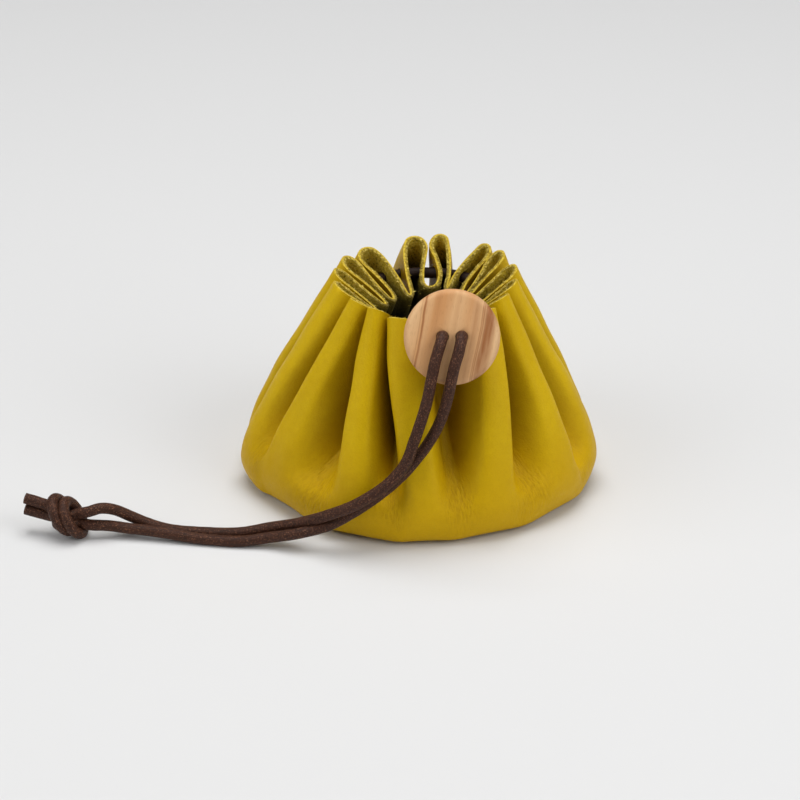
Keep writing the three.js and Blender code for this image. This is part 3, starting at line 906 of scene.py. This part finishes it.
column_phase = (np.arange(COLUMNS) % PLEAT_STEPS) / PLEAT_STEPS
in_valley = 0.5 + 0.5 * np.cos(2 * np.pi * column_phase)
turned = 2 * np.pi * np.arange(COLUMNS) / COLUMNS
steps_down = np.linalg.norm(np.diff(outer, axis=0), axis=-1)
down_length = np.concatenate([np.zeros((1, COLUMNS)), np.cumsum(steps_down, axis=0)])
from_front = np.abs((turned + FRONT_TURN + np.pi) % (2 * np.pi) - np.pi)
wall_place = np.stack([
    np.broadcast_to(WALL_RADIUS * np.cos(turned), (ROWS, COLUMNS)),
    np.broadcast_to(WALL_RADIUS * np.sin(turned), (ROWS, COLUMNS)),
    down_length * CREASE_LENGTH - WALL_RADIUS * from_front * CREASE_SLANT,
], axis=-1)
near_base = np.exp(-(((outer[..., 2] - CREASE_LEVEL) / CREASE_SPREAD) ** 2))
patchy = PINCH_MEAN + PINCH_RANGE * soft_noise(outer, PINCH_PATCH, seed=5.0)
pinched = np.clip(near_base * in_valley[None, :] * patchy, 0, 1)
print("longest way down the wall:", round(float(down_length[-1].max()), 1), "mm")

# %% Foot of the wall
FOOT_SAG = 0.14
FOOT_HEIGHT = 7.0
FOOT_SWELL = 0.012
CORNER_STEPS = 6
SOFT_HEIGHT = 15.0
SOFT_STEPS = 9


def evened(values, steps, axis):
    """The mean of each value and its neighbours round the purse."""
    return sum(np.roll(values, step, axis) for step in range(-steps, steps + 1)) / (2 * steps + 1)


way_round = np.unwrap(np.arctan2(outer[-2, :, 0], -outer[-2, :, 1]))
valley_ends = np.append(way_round[::PLEAT_STEPS], way_round[0] + 2 * np.pi)
spans = np.repeat(np.diff(valley_ends), PLEAT_STEPS)
between = (way_round - np.repeat(valley_ends[:-1], PLEAT_STEPS)) / spans
sag = FOOT_SAG * spans**2 * 4 * between * (1 - between)
sag = evened(sag, CORNER_STEPS, 0)
for face in (outer, inner):
    soft = np.exp(-((face[..., 2] / SOFT_HEIGHT) ** 4))
    face += (evened(face, SOFT_STEPS, 1) - face) * soft[..., None]
    low = np.exp(-((face[..., 2] / FOOT_HEIGHT) ** 2))
    face[..., :2] *= 1 + (FOOT_SWELL * soft - sag * low)[..., None]
print("foot drawn in by up to", round(float(sag.max()), 3), "of its radius")

# %% Small unevenness and creases
LUMP_SIZE = 0.085
LUMP_HEIGHT = 0.35
LUMPS_START = 4.0
WRINKLE_SIZE = 0.9
WRINKLE_HEIGHT = 0.1

height = outer[..., 2]
lumps = soft_noise((outer + inner) / 2, LUMP_SIZE, seed=0.0) * LUMP_HEIGHT
above_floor = np.clip(height / LUMPS_START, 0, 1)
creases = soft_noise(wall_place, WRINKLE_SIZE, seed=9.0) * pinched * WRINKLE_HEIGHT
normals = row_normals(outer)
shift = ((lumps * above_floor)[..., None]) * normals
outer = outer + shift + creases[..., None] * normals
inner = inner + shift
outer[..., 2] = np.maximum(outer[..., 2], 0)
print("largest crease:", round(float(np.abs(creases).max()), 3), "mm")

# %% Depth of the folds
FOLD_STARTS = 1.0
FOLD_DARKENS = 9.0
FOLD_LOW = 9.0
FOLD_HIGH = 30.0

distance = np.hypot(outer[..., 0], outer[..., 1] / BASE_DEPTH)
crests = distance.reshape(ROWS, len(FOLDS), -1).max(axis=2)
crest_columns = (np.arange(len(FOLDS)) + 0.5) * PLEAT_STEPS
every_column = np.arange(COLUMNS)
crest = np.array([np.interp(every_column, crest_columns, row, period=COLUMNS) for row in crests])
# how deep in a fold each point lies, weighted by height: the mask of the painted shade in the folds
fold_shade_mask = np.clip((crest - distance - FOLD_STARTS) / FOLD_DARKENS, 0, 1)
fold_shade_mask = fold_shade_mask * np.clip((height - FOLD_LOW) / (FOLD_HIGH - FOLD_LOW), 0, 1)
print("deepest fold:", round(float((crest - distance).max()), 1), "mm")

# %% One closed mesh
RIM_SHARES = (0.14, 0.5, 0.86)
RIM_BULGE = 0.16
FRAY_SIZE = 1.9
FRAY_HEIGHT = 0.1
INNER_SKIP = 2
HIDE_SLOT, EDGE_SLOT, SUEDE_SLOT = 0, 1, 2

inner_rows = inner[::INNER_SKIP]
if (ROWS - 1) % INNER_SKIP:
    inner_rows = np.concatenate([inner_rows, inner[-1:]])
up = unit(outer[0] - outer[1])
fray = soft_noise(outer[0], FRAY_SIZE, seed=3.0) * FRAY_HEIGHT
rim_rows = []
for share in RIM_SHARES:
    bulge = RIM_BULGE * (1 - (2 * share - 1) ** 2) + fray
    rim_rows.append(outer[0] + (inner[0] - outer[0]) * share + up * bulge[:, None])


def base_rows(edge):
    centre = np.array([0, 0, edge[0, 2]])
    return np.array([centre + (edge - centre) * share for share in BASE_RINGS])


outer_base = base_rows(outer[-1])
inner_base = base_rows(inner_rows[-1])
# from the middle of the inside up to the rim, over it and down to the middle underneath
sheet_rows = np.concatenate([
    inner_base[::-1], inner_rows[::-1], np.array(rim_rows[::-1]), outer, outer_base,
])
FIRST_RIM = len(inner_base) + len(inner_rows)
FIRST_OUTER = FIRST_RIM + len(rim_rows)
points = sheet_rows.reshape(-1, 3)
middle_in = len(points)
middle_under = middle_in + 1
points = np.concatenate([points, [[0, 0, inner_base[0, 0, 2]], [0, 0, 0]]])


def band_faces(rows):
    """Faces between rows of points that run once round the purse, turned outwards."""
    made = []
    for row in range(rows - 1):
        for column in range(COLUMNS):
            a = row * COLUMNS + column
            b = row * COLUMNS + (column + 1) % COLUMNS
            made.append((a, a + COLUMNS, b + COLUMNS, b))
    return made


def slot_of(row):
    if FIRST_RIM - 1 <= row < FIRST_OUTER:
        return EDGE_SLOT
    return SUEDE_SLOT if row < FIRST_RIM else HIDE_SLOT


faces = band_faces(len(sheet_rows))
slots = np.repeat([slot_of(row) for row in range(len(sheet_rows) - 1)], COLUMNS).tolist()
last_row = (len(sheet_rows) - 1) * COLUMNS
for column in range(COLUMNS):
    after = (column + 1) % COLUMNS
    faces.append((column, after, middle_in))
    faces.append((last_row + after, last_row + column, middle_under))
    slots.extend((SUEDE_SLOT, HIDE_SLOT))
print("leather:", len(points), "points,", len(faces), "faces")

# %% Leather object
purse_leather = new_object("purse_leather", (points * MM).tolist(), [], faces)
hide_mesh = purse_leather.data
for finish in (hide_finish, edge_finish, suede_finish):
    hide_mesh.materials.append(finish)
hide_mesh.polygons.foreach_set("material_index", slots)
hide_mesh.polygons.foreach_set("use_smooth", [True] * len(faces))

wall_values = np.zeros((len(points), 3))
pinch_values = np.zeros(len(points))
fold_shade_values = np.zeros(len(points))
edge_values = np.zeros(len(points))
outer_slice = slice(FIRST_OUTER * COLUMNS, (FIRST_OUTER + ROWS) * COLUMNS)
wall_values[outer_slice] = wall_place.reshape(-1, 3) * MM
pinch_values[outer_slice] = pinched.reshape(-1)
fold_shade_values[outer_slice] = fold_shade_mask.reshape(-1)
edge_values[: FIRST_RIM * COLUMNS] = 1
edge_values[FIRST_RIM * COLUMNS : FIRST_OUTER * COLUMNS] = np.repeat(RIM_SHARES[::-1], COLUMNS)
wall_rows = hide_mesh.attributes.new("wall", "FLOAT_VECTOR", "POINT")
wall_rows.data.foreach_set("vector", wall_values.reshape(-1))
for name, values in (("pinch", pinch_values), ("fold", fold_shade_values), ("edge", edge_values)):
    hide_mesh.attributes.new(name, "FLOAT", "POINT").data.foreach_set("value", values)
hide_mesh.update()
print("leather attributes:", [row.name for row in hide_mesh.attributes if not row.is_internal])

# %% [markdown]
# ## Holes for the cord
# The cord passes through both walls of every pleat. Dark spots could be painted there, but
# they would show no thickness. A wider tube along the same route is taken away from the
# leather instead, which leaves punched holes with a cut edge inside.

# %% Punch the holes
PUNCH = 3.6 * MM
PUNCH_STEP = 1.0 * MM
LEATHER_SHARP = math.radians(55)


def cut_away(obj, tool):
    """Takes one closed shape away from another."""
    cut = obj.modifiers.new("cut away", "BOOLEAN")
    cut.operation = "DIFFERENCE"
    cut.solver = "MANIFOLD"
    cut.object = tool
    mesh = made_plain(obj, cut)
    bpy.data.objects.remove(tool)
    return mesh


sizes = {"Radius": PUNCH / 2, "Step": PUNCH_STEP, "Unevenness": 0.0}
punch = tubes("punch", [gather_route], Finish=edge_finish, **sizes)
pierced = cut_away(purse_leather, punch)
pierced.set_sharp_from_angle(angle=LEATHER_SHARP)
print("pierced leather:", len(pierced.polygons), "faces")

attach(purse_leather, BODY)
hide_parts("pouch")

# %% [markdown]
# ## Loose fibres at the rim
# Cut suede never ends cleanly: short pale fibres stand out of the flesh side and hang over
# the cut. Hair would be lost in the export, so Geometry Nodes scatter thin cones over a bed
# of faces, each turned and scaled a little its own way. The bed is made of the top rows of
# the inside and of the cut itself, and isn't kept.

# %% Fibre finish
TUFT_SCALE = 900
TUFT_COLOURS = (
    (0.35, linear(160, 132, 34)),
    (0.5, linear(212, 186, 72)),
    (0.65, linear(248, 230, 134)),
)
fibre_finish, tree, shader = new_finish("loose fibre", 0.9, 0.2)
tufts = noise_at(tree, object_place(tree), TUFT_SCALE, 1.0)
set_input(tree, shader, "Base Color", ramp(tree, tufts, TUFT_COLOURS))
print("made finish:", fibre_finish.name)

# %% Fibre tree
FIBRE_TILT = math.radians(75)
FIBRE_SIDES = 3
SHORTEST = 0.45
LONGEST = 1.3
FIBRE_INPUTS = {
    "Bed": "NodeSocketGeometry",
    "Density": "NodeSocketFloat",
    "Length": "NodeSocketFloat",
    "Thickness": "NodeSocketFloat",
    "Seed": "NodeSocketInt",
    "Finish": "NodeSocketMaterial",
}


def fibre_tree():
    tree = new_tree("fibres on a bed", FIBRE_INPUTS, "Fibres")
    given = node(tree, "NodeGroupInput").outputs
    seed = given["Seed"]
    values = {"Mesh": given["Bed"], "Density": given["Density"], "Seed": seed}
    roots = node(tree, "GeometryNodeDistributePointsOnFaces", values).outputs
    values = {"Vertices": FIBRE_SIDES, "Radius Top": 0.0}
    values.update({"Radius Bottom": given["Thickness"], "Depth": given["Length"]})
    cone = node(tree, "GeometryNodeMeshCone", values, fill_type="NGON").outputs["Mesh"]
    least = (-FIBRE_TILT, -FIBRE_TILT, 0)
    most = (FIBRE_TILT, FIBRE_TILT, 2 * math.pi)
    values = {0: least, 1: most, "Seed": seed}
    tilt = node(tree, "FunctionNodeRandomValue", values, data_type="FLOAT_VECTOR").outputs[0]
    tilt = node(tree, "FunctionNodeEulerToRotation", {"Euler": tilt}).outputs["Rotation"]
    values = {"Rotation": roots["Rotation"], "Rotate By": tilt}
    way = node(tree, "FunctionNodeRotateRotation", values, rotation_space="LOCAL")
    values = {2: SHORTEST, 3: LONGEST, "Seed": seed}
    size = node(tree, "FunctionNodeRandomValue", values, data_type="FLOAT").outputs[1]
    values = {"Points": roots["Points"], "Instance": cone, "Scale": size}
    values["Rotation"] = way.outputs["Rotation"]
    planted = node(tree, "GeometryNodeInstanceOnPoints", values).outputs["Instances"]
    real = node(tree, "GeometryNodeRealizeInstances", {"Geometry": planted}).outputs["Geometry"]
    finished = node(tree, "GeometryNodeSetMaterial", {"Geometry": real, "Material": given["Finish"]})
    node(tree, "NodeGroupOutput", {"Fibres": finished.outputs["Geometry"]})
    return tree


FIBRE_TREE = fibre_tree()
print("made tree:", FIBRE_TREE.name)

# %% Loose fibres
# first and last row of the bed, fibres in each square millimetre, their length and half thickness
FIBRE_BEDS = (
    (FIRST_RIM - 4, FIRST_RIM, 0.16, 0.5, 0.11),
    (FIRST_RIM - 1, FIRST_OUTER - 1, 1.2, 0.5, 0.13),
)
fibre_points = []
fibre_faces = []
for number, (first, last, density, length, half) in enumerate(FIBRE_BEDS):
    bed_rows = sheet_rows[first : last + 1]
    bed_points = (bed_rows.reshape(-1, 3) * MM).tolist()
    bed = new_object("bed", bed_points, [], band_faces(len(bed_rows)))
    sizes = {"Density": density / MM**2, "Length": length * MM, "Thickness": half * MM}
    tufted = with_tree(bed, FIBRE_TREE, Seed=number + 1, Finish=fibre_finish, **sizes)
    start = len(fibre_points)
    fibre_points.extend(tuple(vertex.co) for vertex in tufted.vertices)
    fibre_faces.extend([start + i for i in polygon.vertices] for polygon in tufted.polygons)
    bpy.data.objects.remove(bed)
loose_fibres = new_object("loose_fibres", fibre_points, [], fibre_faces)
loose_fibres.data.materials.append(fibre_finish)
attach(loose_fibres, BODY)
print("loose fibres:", len(fibre_faces), "faces")

# %% [markdown]
# ## The leather as a sheet
# Flat on the table the leather was a plain disc.

# %% [markdown]
# ## The toggle's wood
# The toggle is a turned disc of pale wood cut along the grain. A picture of wood could be laid
# on its face, but streaks made of noises run on over the edge and into the holes. A Mapping
# node turns the object's coordinates into the disc's own face, and a second one leans them
# with the grain, so that the long streaks run almost upright. Wide soft bands, fine lines and
# short pores are three noises stretched along that direction; the brown and the reddish
# streaks sit at their measured places across it.

# %% Wood finish
GRAIN_LEAN = math.radians(-10.8)
GRAIN_WANDER = 0.0012
GRAIN_WIDTH = 0.026
PORE_DEPTH = 0.00006
PALE_WOOD = ((0.32, linear(203, 147, 93)), (0.5, linear(217, 170, 120)), (0.66, linear(228, 189, 140)))
STREAK = linear(140, 72, 18)
FINE_LINE = linear(186, 132, 84)
WOOD_PORE = linear(156, 106, 66)
# place across the grain and strength of the streaks
STREAKS = (
    (0.0, 0.15), (0.1, 0.04), (0.148, 0.04), (0.154, 0.42), (0.162, 0.06), (0.172, 0.1),
    (0.18, 1.0), (0.19, 0.85), (0.2, 0.12), (0.26, 0.04), (0.31, 0.24), (0.35, 0.03),
    (0.475, 0.02), (0.505, 0.14), (0.535, 0.05), (0.64, 0.06), (0.69, 0.45), (0.735, 0.3),
    (0.75, 0.15), (0.758, 0.8), (0.767, 0.3), (0.775, 0.9), (0.783, 0.35), (0.795, 0.85),
    (0.82, 1.0), (0.87, 0.95), (0.9, 0.45), (0.93, 0.1), (1.0, 0.25),
)


def pale_wood():
    material, tree, shader = new_finish("pale wood", 0.55, 0.35)
    on_face = node(tree, "ShaderNodeMapping", {
        "Vector": object_place(tree),
        "Location": tuple(TOGGLE_CENTRE * MM),
        "Rotation": (math.pi / 2 - TOGGLE_LEAN, 0, 0),
    }, vector_type="TEXTURE").outputs["Vector"]
    values = {"Vector": on_face, "Rotation": (0, 0, GRAIN_LEAN)}
    with_grain = node(tree, "ShaderNodeMapping", values, vector_type="TEXTURE").outputs["Vector"]

    def stretched(across, lengthways):
        values = {"Vector": with_grain, "Scale": (across, lengthways, across)}
        return node(tree, "ShaderNodeMapping", values).outputs["Vector"]

    bands = noise_at(tree, stretched(1, 0.07), 190, 2.0)
    lines = noise_at(tree, stretched(1, 0.03), 1500, 3.0, 0.6)
    pores = noise_at(tree, stretched(1, 0.09), 5200, 2.0, 0.5)
    wavy = noise_at(tree, stretched(0.4, 0.35), 220, 2.0)
    broken = noise_at(tree, stretched(1, 0.2), 420, 2.0)
    wander = math_node(tree, "MULTIPLY", math_node(tree, "SUBTRACT", wavy, 0.5), GRAIN_WANDER)
    across = node(tree, "ShaderNodeSeparateXYZ", {"Vector": with_grain}).outputs["X"]
    across = math_node(tree, "DIVIDE", math_node(tree, "ADD", across, wander), GRAIN_WIDTH)
    streaks = levels(tree, math_node(tree, "ADD", across, 0.5), *STREAKS)
    kept = levels(tree, broken, (0.3, 0.65), (0.55, 1.0))
    lined = math_node(tree, "MULTIPLY", streaks, kept)
    lined = math_node(tree, "MULTIPLY", lined, levels(tree, lines, (0.3, 1.0), (0.7, 0.75)))
    colour = mix_colour(tree, lined, ramp(tree, bands, PALE_WOOD), STREAK)
    colour = mix_colour(tree, levels(tree, lines, (0.35, 0.1), (0.5, 0.0)), colour, FINE_LINE)
    colour = mix_colour(tree, levels(tree, pores, (0.3, 0.3), (0.42, 0.0)), colour, WOOD_PORE)
    set_input(tree, shader, "Base Color", colour)
    set_input(tree, shader, "Roughness", levels(tree, lines, (0.3, 0.62), (0.7, 0.48)))
    set_input(tree, shader, "Normal", bump(tree, pores, PORE_DEPTH, 0.4))
    return material


wood_finish = pale_wood()
print("made finish:", wood_finish.name)

# %% [markdown]
# ## The toggle
# A lathe made the real one: a flat disc with softly rounded edges, drilled twice, with the
# rims of the holes eased so that they don't fray the cord. The mesh is made the same way,
# a profile turned round the disc's axis, and two flared drills are taken away from it. The
# flare reaches a hair past the flat faces, so that no ring of the drill lies in them.

# %% Turned disc
TOGGLE_RADIUS = 12.5
TOGGLE_EDGE = 1.6
EDGE_STEPS = 9
FACE_RINGS = (0.25, 0.5, 0.75, 0.94)
ROUND = 128


def turned_mesh(name, profile, centre_x=0.0):
    """Turns (radius, height) rows round the toggle's axis; the first and last lie on it."""
    tilt = math.pi / 2 - TOGGLE_LEAN
    points = []
    for radius, high in profile[1:-1]:
        for step in range(ROUND):
            turned = 2 * math.pi * step / ROUND
            points.append((radius * math.cos(turned) + centre_x, radius * math.sin(turned), high))
    points.append((centre_x, 0, profile[0][1]))
    points.append((centre_x, 0, profile[-1][1]))
    places = []
    for x, y, z in points:
        places.append((
            (TOGGLE_CENTRE[0] + x) * MM,
            (TOGGLE_CENTRE[1] + y * math.cos(tilt) - z * math.sin(tilt)) * MM,
            (TOGGLE_CENTRE[2] + y * math.sin(tilt) + z * math.cos(tilt)) * MM,
        ))
    rings = len(profile) - 2
    low, high = len(points) - 2, len(points) - 1
    faces = []
    for step in range(ROUND):
        after = (step + 1) % ROUND
        faces.append((after, step, low))
        top = (rings - 1) * ROUND
        faces.append((top + step, top + after, high))
        for ring in range(rings - 1):
            a = ring * ROUND
            faces.append((a + step, a + after, a + ROUND + after, a + ROUND + step))
    obj = new_object(name, places, [], faces)
    obj.data.polygons.foreach_set("use_smooth", [True] * len(faces))
    obj.data.materials.append(wood_finish)
    return obj


flat = TOGGLE_RADIUS - TOGGLE_EDGE
lower = [(flat * share, -TOGGLE_HALF) for share in FACE_RINGS]
for turned in np.linspace(0, math.pi / 2, EDGE_STEPS):
    down = -TOGGLE_HALF + TOGGLE_EDGE * (1 - math.cos(turned))
    lower.append((flat + TOGGLE_EDGE * math.sin(turned), down))
upper = [(radius, -high) for radius, high in lower[::-1]]
disc_profile = [(0, -TOGGLE_HALF), *lower, *upper, (0, TOGGLE_HALF)]
wood_toggle = turned_mesh("wood_toggle", disc_profile)
print("turned disc:", len(wood_toggle.data.polygons), "faces")

# %% Drilled holes
HOLE_RADIUS = 1.6
HOLE_EASE = 0.25
EASE_PAST = 0.02
EASE_STEPS = 6
DRILL_PAST = 1
WOOD_SHARP = math.radians(40)

ease = []
for turned in np.linspace(0, math.pi / 2, EASE_STEPS):
    high = TOGGLE_HALF + EASE_PAST - HOLE_EASE * (1 - math.sin(turned))
    ease.append((HOLE_RADIUS + HOLE_EASE * (1 - math.cos(turned)), high))
eased = [(radius, -high) for radius, high in ease[::-1]] + ease
reach = TOGGLE_HALF + DRILL_PAST
wide = HOLE_RADIUS + HOLE_EASE
drill_profile = [(0, -reach), (wide, -reach), *eased, (wide, reach), (0, reach)]
for side in (-1, 1):
    drill = turned_mesh("drill", drill_profile, side * HOLE_SPACING / 2)
    cut_away(wood_toggle, drill)
wood_toggle.data.set_sharp_from_angle(angle=WOOD_SHARP)
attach(wood_toggle, BODY)
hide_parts("toggle")
print("toggle:", len(wood_toggle.data.polygons), "faces")
